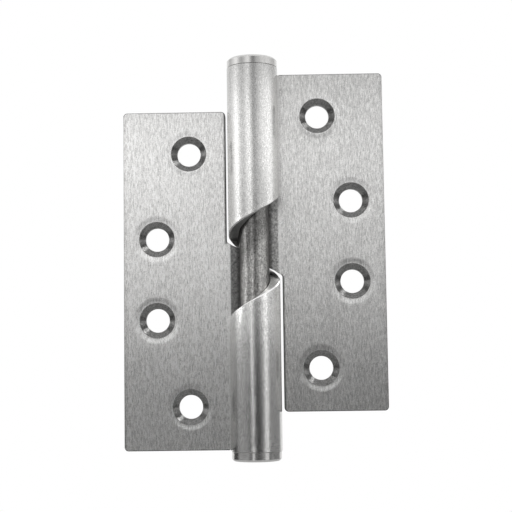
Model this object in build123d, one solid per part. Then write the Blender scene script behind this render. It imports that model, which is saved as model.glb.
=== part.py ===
from build123d import *
import os
from math import asin, atan2, degrees, pi, radians, sqrt

# A 4-inch gravity hinge, opened flat, in millimetres. Z runs up the pin. The lower leaf reaches out along
# -X and the upper leaf along +X, and the side with the barrel and the countersinks faces -Y. The origin is
# on the pin's axis, halfway up the whole hinge. Angles round the pin count from +X towards +Y.

# The sheet, and the leaf that is cut from it
leaf_height = 100.0
leaf_reach = 38.65  # from the pin's axis to the leaf's outer edge
sheet = 3.0
outer_corner = 1.2
notch_corner = 1.3
notch_root = 1.0
plate_edge = 0.25  # broken edge round the front of the leaf

# The barrel that the sheet is rolled into
pin_radius = 4.4
running_gap = 0.08  # all round the pin in its bores
closed_gap = 4.0  # between the faces of the two leaves when the hinge is shut
swage_radius = 2.0  # inside the bend that leads from the leaf back to the barrel
seam_gap = 0.2  # between the rolled edge and the face that it closes on
notch_gap = 0.7  # between each leaf and the other leaf's barrel

# The helical ends on which one barrel stands on the other
cam_pitch = 23.6  # climb in one full turn
cam_play = 1.0  # height between the two ends, as the hinge lies in the photograph
leaf_rise = 10.9  # from the lower leaf up to the upper leaf, opened flat
lower_cam_height = -0.45  # the lower end at its +X side, from the middle of the lower leaf
cam_edge = 0.3  # broken edge along the outside of each end
lower_barrel_overhang = 0.0  # how far each barrel's plain end stands out past the end of its leaf
upper_barrel_overhang = 1.4

# The screw holes, two near the barrel and two near the outer edge
near_hole_reach = 19.2
near_hole_spacing = 74.8
far_hole_reach = 28.8
far_hole_spacing = 24.0
hole_radius = 3.5
sink_radius = 5.2
sink_angle = 90.0

# The caps and the pin
top_cap_inset = 0.05  # from the barrel's outside in to the cap's
top_cap_height = 2.7
bottom_cap_inset = 0.25
bottom_cap_height = 2.8
cap_edge = 0.6  # bevel round the rim
seat_edge = 0.2  # broken edge where the cap sits on the barrel
spigot_length = 4.0
spigot_gap = 0.04
spigot_chamfer = 0.5
pin_chamfer = 0.8
pin_headroom = 0.6  # left above the pin when the hinge is shut
closed_turn = 180.0  # from flat to shut

# Radii of the barrel, and where the swage leaves the leaf and meets the roll
bore_radius = pin_radius + running_gap
barrel_radius = bore_radius + sheet
roll_radius = bore_radius + sheet / 2
bend_radius = swage_radius + sheet / 2
face_depth = closed_gap / 2
bend_depth = face_depth + sheet / 2 + bend_radius
bend_reach = sqrt((roll_radius + bend_radius) ** 2 - bend_depth**2)
bend_middle = (-bend_reach, bend_depth)
root_angle = degrees(atan2(bend_depth, -bend_reach))
rolled_edge_angle = -180 - degrees(asin((face_depth - seam_gap) / barrel_radius))
notch_reach = barrel_radius + notch_gap

# Climb of the cam along the middle of the sheet, and the upper cam that runs on the lower one
cam_slope = cam_pitch / (2 * pi * roll_radius)
upper_cam_height = leaf_rise - cam_play - cam_pitch / 2 - lower_cam_height

# Heights in the finished hinge
barrels_height = lower_barrel_overhang + leaf_height + leaf_rise + upper_barrel_overhang
total_height = bottom_cap_height + barrels_height + top_cap_height
lower_barrel_foot = bottom_cap_height - total_height / 2
upper_barrel_head = total_height / 2 - top_cap_height
lower_leaf_middle = lower_barrel_foot + lower_barrel_overhang + leaf_height / 2
upper_leaf_middle = lower_leaf_middle + leaf_rise
closed_drop = cam_pitch * closed_turn / 360


def ring_sector(middle, inner, outer, start, end):
    """A piece of flat ring round middle, between two radii and two angles."""
    inside = CenterArc(middle, inner, start, end - start)
    outside = CenterArc(middle, outer, start, end - start)
    ends = [Line(inside @ 0, outside @ 0), Line(inside @ 1, outside @ 1)]
    return make_face([inside, outside, *ends])


def cam_cutter(middle, inner, outer, start, end, start_height, climb):
    """All that lies above a helical ramp, which climbs by so much a degree round middle."""
    overrun = 5.0
    margin = 0.3
    first = start - overrun
    last = end + overrun
    low_angle = first if climb > 0 else last
    low_height = start_height + climb * (low_angle - start)
    rails = [
        Helix(360 * abs(climb), abs(climb) * (last - first), radius, lefthand=climb < 0)
        for radius in (inner - margin, outer + margin)
    ]
    ramp = Face.make_surface_from_curves(rails[0], rails[1])
    ramp = Pos(middle[0], middle[1], low_height) * Rot(0, 0, low_angle) * ramp
    return Solid.extrude(ramp, Vector(0, 0, 2 * leaf_height))


def bent_strip(middle, inner, outer, start, end, foot, start_height, climb):
    """A curved stretch of the sheet, from the barrel's plain end up to the cam that cuts it off."""
    blank = extrude(ring_sector(middle, inner, outer, start, end), leaf_height)
    blank = Pos(0, 0, foot) * blank
    return blank - cam_cutter(middle, inner, outer, start, end, start_height, climb)


def corner(face, x, z):
    """The corner of a flat outline that lies at x, z."""
    return face.vertices().sort_by_distance((x, z, 0))[0]


def leaf_plate(bend_height):
    """The flat of the leaf, with the notch beside the other barrel, and its screw holes."""
    foot = -leaf_height / 2
    head = leaf_height / 2
    notch_height = bend_height + cam_slope * (notch_reach - bend_reach)
    outline = Polyline(
        (-leaf_reach, foot),
        (-bend_reach, foot),
        (-bend_reach, bend_height),
        (-notch_reach, notch_height),
        (-notch_reach, head),
        (-leaf_reach, head),
        close=True,
    )
    face = make_face(outline)
    outer_corners = [corner(face, -leaf_reach, foot), corner(face, -leaf_reach, head)]
    face = fillet(outer_corners, outer_corner)
    face = fillet(corner(face, -notch_reach, head), notch_corner)
    face = fillet(corner(face, -notch_reach, notch_height), notch_root)
    front = Plane.XZ.offset(-face_depth)
    plate = extrude(front * face, -sheet)
    screw = CounterSinkHole(hole_radius, sink_radius, sheet, sink_angle)
    for reach, spacing in ((near_hole_reach, near_hole_spacing), (far_hole_reach, far_hole_spacing)):
        for height in (-spacing / 2, spacing / 2):
            plate -= front * Pos(-reach, height) * screw
    front_edges = plate.edges().group_by(Axis.Y)[0]
    bend_edge = front_edges.sort_by(Axis.X)[-1]
    rims = front_edges.filter_by(GeomType.CIRCLE).group_by(SortBy.RADIUS)[-1]
    return chamfer(front_edges - [bend_edge, *rims], plate_edge)


def leaf(cam_height, overhang):
    """A whole leaf: plate, swage and rolled barrel are one sheet. The axis is at x = 0."""
    foot = -leaf_height / 2 - overhang
    climb = cam_pitch / 360
    edge_height = cam_height + climb * rolled_edge_angle
    barrel = bent_strip(
        (0, 0), bore_radius, barrel_radius, rolled_edge_angle, root_angle, foot, edge_height, climb
    )
    barrel = chamfer(barrel.edges().filter_by(GeomType.BSPLINE).sort_by(SortBy.LENGTH)[-1], cam_edge)
    swage_turn = root_angle - 90
    swage_climb = cam_slope * radians(bend_radius)
    bend_height = cam_height + climb * root_angle + swage_climb * swage_turn
    swage = bent_strip(
        bend_middle, swage_radius, swage_radius + sheet, -90, swage_turn - 90, foot, bend_height, -swage_climb
    )
    return leaf_plate(bend_height) + swage + barrel


def cap(radius, height):
    """A turned cap with a bevelled rim, seated at z = 0, and the spigot that holds it in the bore."""
    disc = Pos(0, 0, height / 2) * Cylinder(radius, height)
    disc = chamfer(disc.edges().sort_by(Axis.Z)[-1], cap_edge)
    disc = chamfer(disc.edges().sort_by(Axis.Z)[0], seat_edge)
    spigot = Pos(0, 0, -spigot_length / 2) * Cylinder(bore_radius - spigot_gap, spigot_length)
    spigot = chamfer(spigot.edges().sort_by(Axis.Z)[0], spigot_chamfer)
    return disc + spigot


def pin(foot, head):
    """The loose pin, which stands on the bottom cap's spigot."""
    rod = Pos(0, 0, (foot + head) / 2) * Cylinder(pin_radius, head - foot)
    return chamfer(rod.edges().filter_by(GeomType.CIRCLE), pin_chamfer)


lower_leaf = Pos(0, 0, lower_leaf_middle) * leaf(lower_cam_height, lower_barrel_overhang)
upper_leaf = leaf(upper_cam_height, upper_barrel_overhang)
upper_leaf = Pos(0, 0, upper_leaf_middle) * Rot(0, 180, 0) * upper_leaf
top_cap = cap(barrel_radius - top_cap_inset, top_cap_height)
top_cap = Pos(0, 0, upper_barrel_head) * top_cap
bottom_cap = cap(barrel_radius - bottom_cap_inset, bottom_cap_height)
bottom_cap = Pos(0, 0, lower_barrel_foot) * Rot(180, 0, 0) * bottom_cap
pin_foot = lower_barrel_foot + spigot_length
pin_head = upper_barrel_head - spigot_length - closed_drop - pin_headroom
hinge_pin = pin(pin_foot, pin_head)

nodes = {
    "lower_leaf": lower_leaf,
    "upper_leaf": upper_leaf,
    "hinge_pin": hinge_pin,
    "top_cap": top_cap,
    "bottom_cap": bottom_cap,
}
os.makedirs("parts", exist_ok=True)
for name, piece in nodes.items():
    export_step(piece, f"parts/{name}.step")
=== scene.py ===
from math import pi, radians, sin, cos, tan

import bmesh
import bpy
from mathutils import Matrix, Vector


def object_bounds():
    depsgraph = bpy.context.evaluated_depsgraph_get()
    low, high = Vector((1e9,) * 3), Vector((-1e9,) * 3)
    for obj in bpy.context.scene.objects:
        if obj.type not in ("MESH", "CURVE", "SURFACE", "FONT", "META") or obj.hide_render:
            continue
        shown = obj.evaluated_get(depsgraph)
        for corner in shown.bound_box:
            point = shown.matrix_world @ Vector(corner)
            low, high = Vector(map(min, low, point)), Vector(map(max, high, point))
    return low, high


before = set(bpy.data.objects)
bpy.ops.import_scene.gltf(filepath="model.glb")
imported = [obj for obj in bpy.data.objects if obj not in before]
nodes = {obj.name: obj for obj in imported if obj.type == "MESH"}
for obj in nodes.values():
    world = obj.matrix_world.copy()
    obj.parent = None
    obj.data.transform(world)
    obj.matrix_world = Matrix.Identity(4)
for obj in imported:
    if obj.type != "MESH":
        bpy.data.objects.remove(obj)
cad_low, cad_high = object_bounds()


# The camera stands a third of a metre in front of the open hinge, a little below its middle, and looks
# slightly up at it. Its lens is that of a short telephoto, as in the photograph.
camera_place = Vector((0.00644, -0.3416, -0.02873))
camera_pan = radians(0.997)
camera_tilt = radians(4.87)
camera_roll = radians(0.785)
camera_lens = 82.17

camera = bpy.data.objects.new("camera", bpy.data.cameras.new("camera"))
camera.data.lens = camera_lens
camera.data.sensor_width = 36.0
camera.data.clip_start = 0.01
camera.matrix_world = (
    Matrix.Translation(camera_place)
    @ Matrix.Rotation(camera_pan, 4, "Z")
    @ Matrix.Rotation(camera_tilt, 4, "X")
    @ Matrix.Rotation(camera_roll, 4, "Y")
    @ Matrix.Rotation(pi / 2, 4, "X")
)
bpy.context.scene.collection.objects.link(camera)
bpy.context.scene.camera = camera
bpy.context.scene.view_settings.view_transform = "Standard"


# The studio is a white room. A curved card stands round the camera, and the steel mirrors it: it is
# bright above the camera and dark below, so the flat leaves fade downwards. A few soft lamps in front
# of it make the streaks on the round pieces.
def put(tree, socket, value):
    """Links a socket to another node's output, or sets it to a plain value."""
    if isinstance(value, bpy.types.NodeSocket):
        tree.links.new(value, socket)
    else:
        socket.default_value = value


def node(tree, kind, settings=None, **inputs):
    """A new node with its settings and its inputs, named with _ for the spaces."""
    made = tree.nodes.new(kind)
    for name, value in (settings or {}).items():
        setattr(made, name, value)
    for name, value in inputs.items():
        put(tree, made.inputs[name.replace("_", " ")], value)
    return made


def calc(tree, operation, *values):
    """One step of arithmetic on values or node outputs."""
    made = node(tree, "ShaderNodeMath", {"operation": operation})
    for socket, value in zip(made.inputs, values):
        put(tree, socket, value)
    return made.outputs["Value"]


def ramp(tree, value, stops):
    """A smooth grey scale through the stops, each a place and a brightness."""
    made = node(tree, "ShaderNodeValToRGB", Fac=value)
    made.color_ramp.interpolation = "EASE"
    while len(made.color_ramp.elements) < len(stops):
        made.color_ramp.elements.new(1.0)
    for element, (place, grey) in zip(made.color_ramp.elements, stops):
        element.position = place
        element.color = (grey, grey, grey, 1.0)
    return made.outputs["Color"]


world = bpy.data.worlds.new("studio")
world.use_nodes = True
bpy.context.scene.world = world
tree = world.node_tree
tree.nodes.clear()
light_path = node(tree, "ShaderNodeLightPath").outputs
shown = calc(tree, "MAXIMUM", light_path["Is Camera Ray"], light_path["Is Glossy Ray"])
shown = calc(tree, "MAXIMUM", shown, light_path["Is Transmission Ray"])
grey = node(tree, "ShaderNodeBackground", Color=(0.5, 0.5, 0.5, 1), Strength=1.0)
white = node(tree, "ShaderNodeBackground", Color=(1, 1, 1, 1), Strength=1.0)
mixed = node(tree, "ShaderNodeMixShader", Fac=shown)
tree.links.new(grey.outputs["Background"], mixed.inputs[1])
tree.links.new(white.outputs["Background"], mixed.inputs[2])
node(tree, "ShaderNodeOutputWorld", Surface=mixed.outputs["Shader"])

# The card, in metres. Its tones are listed by elevation and scaled by azimuth, both in degrees as the
# hinge sees them.
card_radius = 1.5
card_foot = -0.7
card_head = 1.1
card_half_turn = 130
card_panel_turn = 5
card_tones = (
    (-20, 0.03),
    (-4.5, 0.04),
    (-1, 0.16),
    (2, 0.7),
    (5, 1.0),
    (12, 1.55),
    (18, 0.95),
    (26, 0.45),
)
card_sides = (
    (-120, 0.6),
    (-78, 1.05),
    (-46, 0.5),
    (-18, 1.05),
    (6, 0.2),
    (24, 0.62),
    (48, 0.68),
    (70, 0.75),
    (120, 0.6),
)
card_start = radians(-card_half_turn)
bent = bmesh.new()
left_ends = [
    bent.verts.new((card_radius * sin(card_start), -card_radius * cos(card_start), height))
    for height in (card_foot, card_head)
]
left_edge = bent.edges.new(left_ends)
bmesh.ops.spin(
    bent,
    geom=[*left_ends, left_edge],
    cent=(0, 0, 0),
    axis=(0, 0, 1),
    angle=radians(2 * card_half_turn),
    steps=2 * card_half_turn // card_panel_turn,
)
card_mesh = bpy.data.meshes.new("card")
bent.to_mesh(card_mesh)
bent.free()
card = bpy.data.objects.new("card", card_mesh)
bpy.context.scene.collection.objects.link(card)
card.visible_camera = False

card_paper = bpy.data.materials.new("card_paper")
card_paper.use_nodes = True
tree = card_paper.node_tree
tree.nodes.clear()
on_card = node(tree, "ShaderNodeTexCoord").outputs["Object"]
place = node(tree, "ShaderNodeSeparateXYZ", Vector=on_card).outputs
up_card = node(tree, "ShaderNodeMapRange", Value=place["Z"], From_Min=card_foot, From_Max=card_head)
stops = [
    ((card_radius * tan(radians(elevation)) - card_foot) / (card_head - card_foot), tone)
    for elevation, tone in card_tones
]
height_tone = ramp(tree, up_card.outputs["Result"], stops)
azimuth = calc(tree, "ARCTAN2", place["X"], calc(tree, "MULTIPLY", place["Y"], -1.0))
round_card = node(tree, "ShaderNodeMapRange", Value=azimuth, From_Min=-pi, From_Max=pi)
stops = [((turn + 180) / 360, tone) for turn, tone in card_sides]
side_tone = ramp(tree, round_card.outputs["Result"], stops)
glow = node(tree, "ShaderNodeEmission", Strength=calc(tree, "MULTIPLY", height_tone, side_tone))
node(tree, "ShaderNodeOutputMaterial", Surface=glow.outputs["Emission"])
card_mesh.materials.append(card_paper)

lamp_distance = 1.2
lamps = (
    # name, azimuth, lowest and highest elevation, width, all in degrees, and how bright it looks
    ("left_box", -76, 5, 15, 16, 0.6),
    ("left_low", -76, -12, 4, 34, 0.26),
    ("left_mid_low", -46, -12, 2, 24, 0.26),
    ("front_strip", -14, -10, 14, 3, 1.4),
    ("front_low", -13, -12, 1, 3, 1.8),
    ("right_mid_low", 34, -12, 2, 14, 0.2),
    ("right_low", 98, -12, 2, 56, 0.2),
    ("right_strip", 50, 10, 16, 18, 0.45),
    ("right_strip_low", 50, -10, 4, 18, 0.95),
    ("right_box", 80, 5, 16, 30, 0.5),
    ("sink_box", 55, 34, 48, 14, 9.0),
    ("pin_strip", -69, 1, 7, 3.5, 5.5),
)
for name, azimuth, low, high, width, brightness in lamps:
    middle = radians((low + high) / 2)
    turn = radians(azimuth)
    away = Vector((sin(turn) * cos(middle), -cos(turn) * cos(middle), sin(middle)))
    light = bpy.data.lights.new(name, "AREA")
    light.shape = "RECTANGLE"
    light.size = 2 * lamp_distance * tan(radians(width / 2))
    light.size_y = 2 * lamp_distance * tan(radians((high - low) / 2))
    light.energy = brightness * pi * light.size * light.size_y
    lamp = bpy.data.objects.new(name, light)
    facing_hinge = away.to_track_quat("Z", "Y").to_matrix().to_4x4()
    lamp.matrix_world = Matrix.Translation(away * lamp_distance) @ facing_hinge
    lamp.visible_camera = False
    bpy.context.scene.collection.objects.link(lamp)

floor_drop = 0.12
floor_size = 1.2
bpy.ops.mesh.primitive_plane_add(size=floor_size, location=(0, 0, cad_low.z - floor_drop))
floor = bpy.context.object
floor.name = "floor"
floor_paper = bpy.data.materials.new("floor_paper")
floor_paper.use_nodes = True
paper = floor_paper.node_tree.nodes["Principled BSDF"].inputs
paper["Base Color"].default_value = (0.9, 0.9, 0.9, 1)
paper["Roughness"].default_value = 0.9
floor.data.materials.append(floor_paper)


# The two leaves are one sheet of stainless steel each, stamped, rolled and then brushed up and down. The
# brushing reaches the flats and the outsides of the barrels. The sheet stays raw beside the barrel and in
# the bore, and the countersinks are turned. The darkness in the bore and the countersinks, on the cut
# ends and broken edges, and beside the barrel and the pin is painted shade, and the band along each cam
# is a painted highlight. Sizes are in millimetres.
millimetres = 1000.0  # in a metre
leaf_grey = (0.82, 0.816, 0.805)
leaf_roughness = 0.285
grain_up = (0.03, 0.02, 1.0)  # a little off upright, so that it is never square to a level face
grain_depth = 0.00002  # in metres
near_hole = (19.2, 37.4)  # from the pin's axis, and up or down from the leaf's middle
far_hole = (28.8, 12.0)
sink_radius = 5.2
dish_radius = 7.1
dish_depth = 0.00007  # in metres
bore_radius = 4.48
barrel_radius = 7.48
face_depth = 2.0  # from the pin's axis back to the plate's front
notch_reach = 8.18  # from the pin's axis out to the notch's upright edge
leaf_reach = 38.65  # and out to the leaf's outer edge
notch_rise = 10.0  # from the leaf's middle to about where its notch starts
cam_pitch = 23.6
cam_climb = cam_pitch / (2 * pi)
leaf_traits = {
    # each leaf's middle, which way its notch lies from there, the height of its cam at +X, an angle
    # round the pin that falls in its seam, in degrees, and its painted shades and highlights, which give
    # the same steel different greys on the two leaves
    "lower_leaf": {
        "middle": -6.1,
        "notch_side": 1.0,
        "cam_foot": -6.55,
        "seam_angle": 149,
        "painted_plate_shade": 1.0,
        "painted_barrel_shade": 1.0,
        "painted_rim_light_and_shade": 1.1,
        "painted_face_shade": 0.9,
        "painted_strip_shade": 0.45,
    },
    "upper_leaf": {
        "middle": 4.8,
        "notch_side": -1.0,
        "cam_foot": 18.05,
        "seam_angle": 34,
        "painted_plate_shade": 0.93,
        "painted_barrel_shade": 0.76,
        "painted_rim_light_and_shade": 0.6,
        "painted_face_shade": 0.38,
        "painted_strip_shade": 0.85,
    },
}


def step(tree, value, start, end):
    """Rises from 0 at start to 1 at end, and falls where end is the lower of the two."""
    smooth = {"interpolation_type": "SMOOTHSTEP"}
    made = node(tree, "ShaderNodeMapRange", smooth, Value=value, From_Min=start, From_Max=end)
    return made.outputs["Result"]


def product(tree, *values):
    """All the values multiplied together."""
    total = values[0]
    for value in values[1:]:
        total = calc(tree, "MULTIPLY", total, value)
    return total


def distance(tree, first, second):
    """How far off a point is that lies so far away in each of two directions."""
    squares = calc(tree, "MULTIPLY_ADD", first, first, product(tree, second, second))
    return calc(tree, "SQRT", squares)


def vary(tree, noise, swing):
    """A factor of about 1 that follows the noise, and spans the swing where the noise spans 0 to 1."""
    return calc(tree, "MULTIPLY_ADD", noise, swing, 1 - swing / 2)


def only_on(tree, mask, factor):
    """A factor that is itself where the mask is 1, and 1 where the mask is 0."""
    return calc(tree, "MULTIPLY_ADD", mask, calc(tree, "SUBTRACT", factor, 1.0), 1.0)


def grain(tree, place, across, along, detail=2.0):
    """Brushed grain, with so many lines a millimetre across it and along it."""
    lines = node(tree, "ShaderNodeMapping", Vector=place, Scale=(across, across, along))
    lines = lines.outputs["Vector"]
    return node(tree, "ShaderNodeTexNoise", Vector=lines, Scale=1.0, Detail=detail).outputs["Fac"]


def new_steel(name, anisotropy):
    """A bare steel, its tree and shader, and the place on the piece in millimetres."""
    material = bpy.data.materials.new(name)
    material.use_nodes = True
    tree = material.node_tree
    shader = tree.nodes["Principled BSDF"]
    shader.inputs["Metallic"].default_value = 1.0
    shader.inputs["Anisotropic"].default_value = anisotropy
    place = node(tree, "ShaderNodeTexCoord").outputs["Object"]
    place = node(tree, "ShaderNodeVectorMath", {"operation": "SCALE"}, Vector=place, Scale=millimetres)
    return material, tree, shader, place.outputs["Vector"]


def across_grain(tree, facing):
    """The direction across upright grain: level, and along the surface."""
    across = node(tree, "ShaderNodeVectorMath", {"operation": "CROSS_PRODUCT"})
    put(tree, across.inputs[0], facing)
    put(tree, across.inputs[1], grain_up)
    return across.outputs["Vector"]


def finish(tree, shader, grey, shade, roughness, relief, strength, depth):
    """Gives the steel its shaded grey, its roughness and its relief, and returns the relief's bump."""
    colour = node(tree, "ShaderNodeVectorMath", {"operation": "SCALE"}, Vector=grey, Scale=shade)
    put(tree, shader.inputs["Base Color"], colour.outputs["Vector"])
    put(tree, shader.inputs["Roughness"], roughness)
    bump = node(tree, "ShaderNodeBump", Strength=strength, Distance=depth, Height=relief)
    put(tree, shader.inputs["Normal"], bump.outputs["Normal"])
    return bump


def leaf_steel(
    name,
    middle,
    notch_side,
    cam_foot,
    seam_angle,
    painted_plate_shade,
    painted_barrel_shade,
    painted_rim_light_and_shade,
    painted_face_shade,
    painted_strip_shade,
):
    """The steel of one leaf, with a mask for each place that looks different; many paint shade or a
    highlight.
    """
    material, tree, shader, place = new_steel(name + "_steel", anisotropy=1.0)
    facing = node(tree, "ShaderNodeTexCoord").outputs["Normal"]
    split = node(tree, "ShaderNodeSeparateXYZ", Vector=place).outputs
    x, y, z = (split[axis] for axis in "XYZ")
    reach = calc(tree, "ABSOLUTE", x)
    radius = distance(tree, x, y)
    rise = calc(tree, "SUBTRACT", z, middle)
    height = calc(tree, "ABSOLUTE", rise)
    normal = node(tree, "ShaderNodeSeparateXYZ", Vector=facing).outputs
    upright = calc(tree, "ABSOLUTE", normal["Z"])

    to_front = step(tree, normal["Y"], -0.3, -0.6)
    front_flat = product(tree, to_front, step(tree, y, face_depth - 0.3, face_depth))
    off_front_flat = calc(tree, "SUBTRACT", 1.0, front_flat)
    on_barrel = step(tree, radius, barrel_radius + 0.42, barrel_radius + 0.12)
    on_barrel = product(tree, on_barrel, off_front_flat)
    raw_strip = product(tree, to_front, step(tree, y, face_depth - 0.2, face_depth - 0.05))
    raw_strip = product(tree, raw_strip, step(tree, reach, barrel_radius - 0.18, barrel_radius - 0.58))
    painted_shade_by_pin = product(tree, raw_strip, step(tree, reach, bore_radius + 1.02, bore_radius + 0.42))
    painted_shade_in_bore = step(tree, radius, bore_radius + 0.22, bore_radius + 0.07)

    turn = calc(tree, "ARCTAN2", y, x)
    past_seam = calc(tree, "GREATER_THAN", turn, radians(seam_angle))
    turn = calc(tree, "MULTIPLY_ADD", past_seam, -2 * pi, turn)
    cam_height = calc(tree, "MULTIPLY_ADD", turn, cam_climb, cam_foot)
    from_cam = calc(tree, "ABSOLUTE", calc(tree, "SUBTRACT", z, cam_height))
    cam_face = product(tree, on_barrel, step(tree, upright, 0.68, 0.74))
    cam_rim = product(tree, on_barrel, step(tree, from_cam, 0.5, 0.3), step(tree, upright, 0.72, 0.66))
    painted_cam_highlight = product(tree, on_barrel, step(tree, from_cam, 2.0, 0.8))

    def hole_distance(hole):
        sideways = calc(tree, "SUBTRACT", reach, hole[0])
        upwards = calc(tree, "SUBTRACT", height, hole[1])
        return distance(tree, sideways, upwards)

    from_hole = calc(tree, "MINIMUM", hole_distance(near_hole), hole_distance(far_hole))
    off_back = step(tree, normal["Y"], 0.7, 0.5)
    in_sink = product(tree, off_back, step(tree, from_hole, sink_radius + 0.1, sink_radius + 0.02))
    off_sink = calc(tree, "SUBTRACT", 1.0, in_sink)
    on_plate = product(tree, off_sink, step(tree, reach, notch_reach - 0.28, notch_reach - 0.18))
    broken_edge = product(tree, on_plate, off_back, step(tree, normal["Y"], -0.97, -0.85))
    along_notch = calc(tree, "MULTIPLY", rise, notch_side)
    along_notch = step(tree, along_notch, notch_rise, notch_rise + 0.6)
    painted_outer_edge_shade = step(tree, reach, leaf_reach - 1.35, leaf_reach - 0.45)

    inner_edge = product(tree, broken_edge, step(tree, reach, notch_reach + 1.32, notch_reach + 0.62))
    lower_edge = product(tree, broken_edge, step(tree, normal["Z"], -0.2, -0.5))
    upper_edge = product(tree, broken_edge, step(tree, normal["Z"], 0.2, 0.5))
    notch_strip = step(tree, reach, notch_reach + 0.72, notch_reach + 0.42)
    notch_strip = product(tree, on_plate, along_notch, notch_strip)

    fine = grain(tree, place, across=3.8, along=0.75)
    mottle = grain(tree, place, across=3.6, along=3.0, detail=1.0)
    bands = grain(tree, place, across=0.7, along=0.03)
    cloud = grain(tree, place, across=0.08, along=0.04)
    smears = grain(tree, place, across=1.6, along=1.4, detail=4.0)
    shade = product(tree, vary(tree, mottle, 0.85), vary(tree, bands, 0.16), vary(tree, cloud, 0.1))
    for mask, factor in (
        # the plate's brushed grain, with painted shade darkening the upper leaf's plate
        (on_plate, product(tree, vary(tree, fine, 1.3), painted_plate_shade)),
        # the barrel's grain, with painted shade darkening the upper leaf's barrel
        (on_barrel, product(tree, vary(tree, fine, 0.7), painted_barrel_shade)),
        # painted highlight in a band along each cam's edge
        (painted_cam_highlight, 1.12),
        # painted highlight on the lower cam's rim, painted shade on the upper cam's rim
        (cam_rim, painted_rim_light_and_shade),
        # painted shade on the cam faces, deepest on the upper one, which faces down
        (cam_face, painted_face_shade),
        # painted shade inside the bore
        (painted_shade_in_bore, 0.25),
        # the countersink's turned smears and mottle, darkened all over with painted shade
        (in_sink, product(tree, vary(tree, smears, 1.2), vary(tree, mottle, 1.0), 0.33)),
        # painted shade along the leaf's outer edge, standing in for its rounding
        (painted_outer_edge_shade, 0.9),
        # painted shade on the broken edges, deepest beside the notch and on the lower and upper edges
        (broken_edge, 0.6),
        (inner_edge, 0.3),
        (lower_edge, 0.3),
        (upper_edge, 0.55),
        # painted shade along the notch's edge, beside the gap to the other barrel
        (notch_strip, 0.45),
        # the raw sheet's smears, with painted shade that is deepest on the lower leaf
        (raw_strip, product(tree, vary(tree, smears, 2.2), painted_strip_shade)),
        # painted shade in the corner next to the pin
        (painted_shade_by_pin, 0.6),
    ):
        shade = product(tree, shade, only_on(tree, mask, factor))

    roughness = leaf_roughness
    for mask, more in ((on_barrel, -0.11), (raw_strip, 0.25), (cam_face, 0.2)):
        roughness = calc(tree, "MULTIPLY_ADD", mask, more, roughness)
    bump = finish(
        tree, shader, leaf_grey, shade, roughness, relief=fine, strength=0.08, depth=grain_depth
    )

    # The punch has dished the sheet a little round each hole.
    by_hole = product(tree, off_back, step(tree, from_hole, dish_radius, sink_radius))
    inwards = {"invert": True}
    dish = node(tree, "ShaderNodeBump", inwards, Strength=1.0, Distance=dish_depth, Height=by_hole)
    put(tree, bump.inputs["Normal"], dish.outputs["Normal"])

    # The tool went round in a countersink, so there the direction across the grain runs up its slope.
    # It turns with the leaf. The numbers are the sockets that a mix of vectors uses.
    share, first, second, result = 0, 4, 5, 1
    slope = node(tree, "ShaderNodeVectorMath", {"operation": "MULTIPLY"})
    put(tree, slope.inputs[0], facing)
    put(tree, slope.inputs[1], (1.0, 0.0, 1.0))
    turned = node(tree, "ShaderNodeMix", {"data_type": "VECTOR"})
    put(tree, turned.inputs[share], in_sink)
    put(tree, turned.inputs[first], across_grain(tree, facing))
    put(tree, turned.inputs[second], slope.outputs["Vector"])
    with_leaf = {"vector_type": "VECTOR", "convert_from": "OBJECT", "convert_to": "WORLD"}
    turned = node(tree, "ShaderNodeVectorTransform", with_leaf, Vector=turned.outputs[result])
    put(tree, shader.inputs["Tangent"], turned.outputs["Vector"])
    return material


for name, traits in leaf_traits.items():
    nodes[name].data.materials.clear()
    nodes[name].data.materials.append(leaf_steel(name, **traits))


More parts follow.
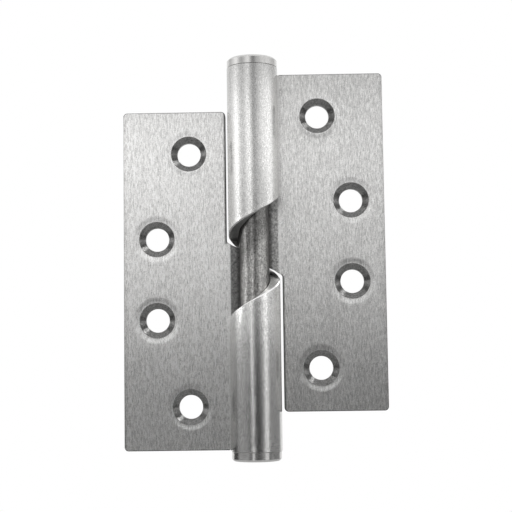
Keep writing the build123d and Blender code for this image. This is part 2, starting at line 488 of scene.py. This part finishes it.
# The pin is a turned round bar of steel, loose in both bores. Where it shows between the barrels it is
# smeared and scratched slantwise by the turning of the knuckles. A shadow under the upper knuckle, where
# it is darkest, and shade along its sides are painted into its colour.
pin_radius = 4.4
pin_grey = (0.4, 0.395, 0.385)
scratch_slant = radians(55)
scratch_lines = (2.5, 2.5, 0.5)  # a millimetre
scratch_depth = 0.00003  # in metres
cam_shadow_lean = 1.5  # how much higher the upper knuckle's shadow lies for each millimetre along X
cam_shadow_foot = -1.0  # where it starts and is full, at the pin's middle
cam_shadow_head = 6.0
pin_material, tree, shader, place = new_steel("pin_steel", anisotropy=0.0)
split = node(tree, "ShaderNodeSeparateXYZ", Vector=place).outputs
slant = (0.0, scratch_slant, 0.0)
slanted = node(tree, "ShaderNodeMapping", Vector=place, Rotation=slant, Scale=scratch_lines)
slanted = slanted.outputs["Vector"]
scratches = node(tree, "ShaderNodeTexNoise", Vector=slanted, Scale=1.0, Detail=3.0).outputs["Fac"]
specks = grain(tree, place, across=2.4, along=2.0, detail=3.0)
blotches = grain(tree, place, across=0.9, along=0.6)
below_cam = calc(tree, "MULTIPLY_ADD", split["X"], -cam_shadow_lean, split["Z"])
# painted shadow of the upper knuckle on the pin
painted_cam_shadow = step(tree, below_cam, cam_shadow_foot, cam_shadow_head)
# painted shade along the pin's sides
painted_side_shade = step(tree, calc(tree, "ABSOLUTE", split["X"]), pin_radius - 1.2, pin_radius - 0.2)
shade = product(
    tree,
    vary(tree, scratches, 1.4),
    vary(tree, specks, 2.4),
    vary(tree, blotches, 0.8),
    only_on(tree, painted_cam_shadow, 0.5),
    only_on(tree, painted_side_shade, 0.4),
)
roughness = calc(tree, "MULTIPLY_ADD", scratches, 0.08, 0.25)
finish(tree, shader, pin_grey, shade, roughness, relief=scratches, strength=0.3, depth=scratch_depth)
nodes["hinge_pin"].data.materials.clear()
nodes["hinge_pin"].data.materials.append(pin_material)


# The two caps are turned from steel bar, and the spigot on each is pressed into the plain end of a bore.
# The turning tool has left fine rings on them.
cap_grey = (0.64, 0.635, 0.625)
ring_lines = 6.0  # a millimetre
ring_depth = 0.00002  # in metres
cap_material, tree, shader, place = new_steel("cap_steel", anisotropy=0.0)
split = node(tree, "ShaderNodeSeparateXYZ", Vector=place).outputs
outwards = calc(tree, "ADD", distance(tree, split["X"], split["Y"]), split["Z"])
in_line = {"noise_dimensions": "1D"}
rings = node(tree, "ShaderNodeTexNoise", in_line, W=outwards, Scale=ring_lines, Detail=3.0)
rings = rings.outputs["Fac"]
smudge = grain(tree, place, across=0.6, along=0.5, detail=3.0)
shade = product(tree, vary(tree, rings, 0.2), vary(tree, smudge, 0.2))
roughness = calc(tree, "MULTIPLY_ADD", smudge, 0.12, 0.16)
finish(tree, shader, cap_grey, shade, roughness, relief=rings, strength=0.1, depth=ring_depth)
for name in ("top_cap", "bottom_cap"):
    nodes[name].data.materials.clear()
    nodes[name].data.materials.append(cap_material)
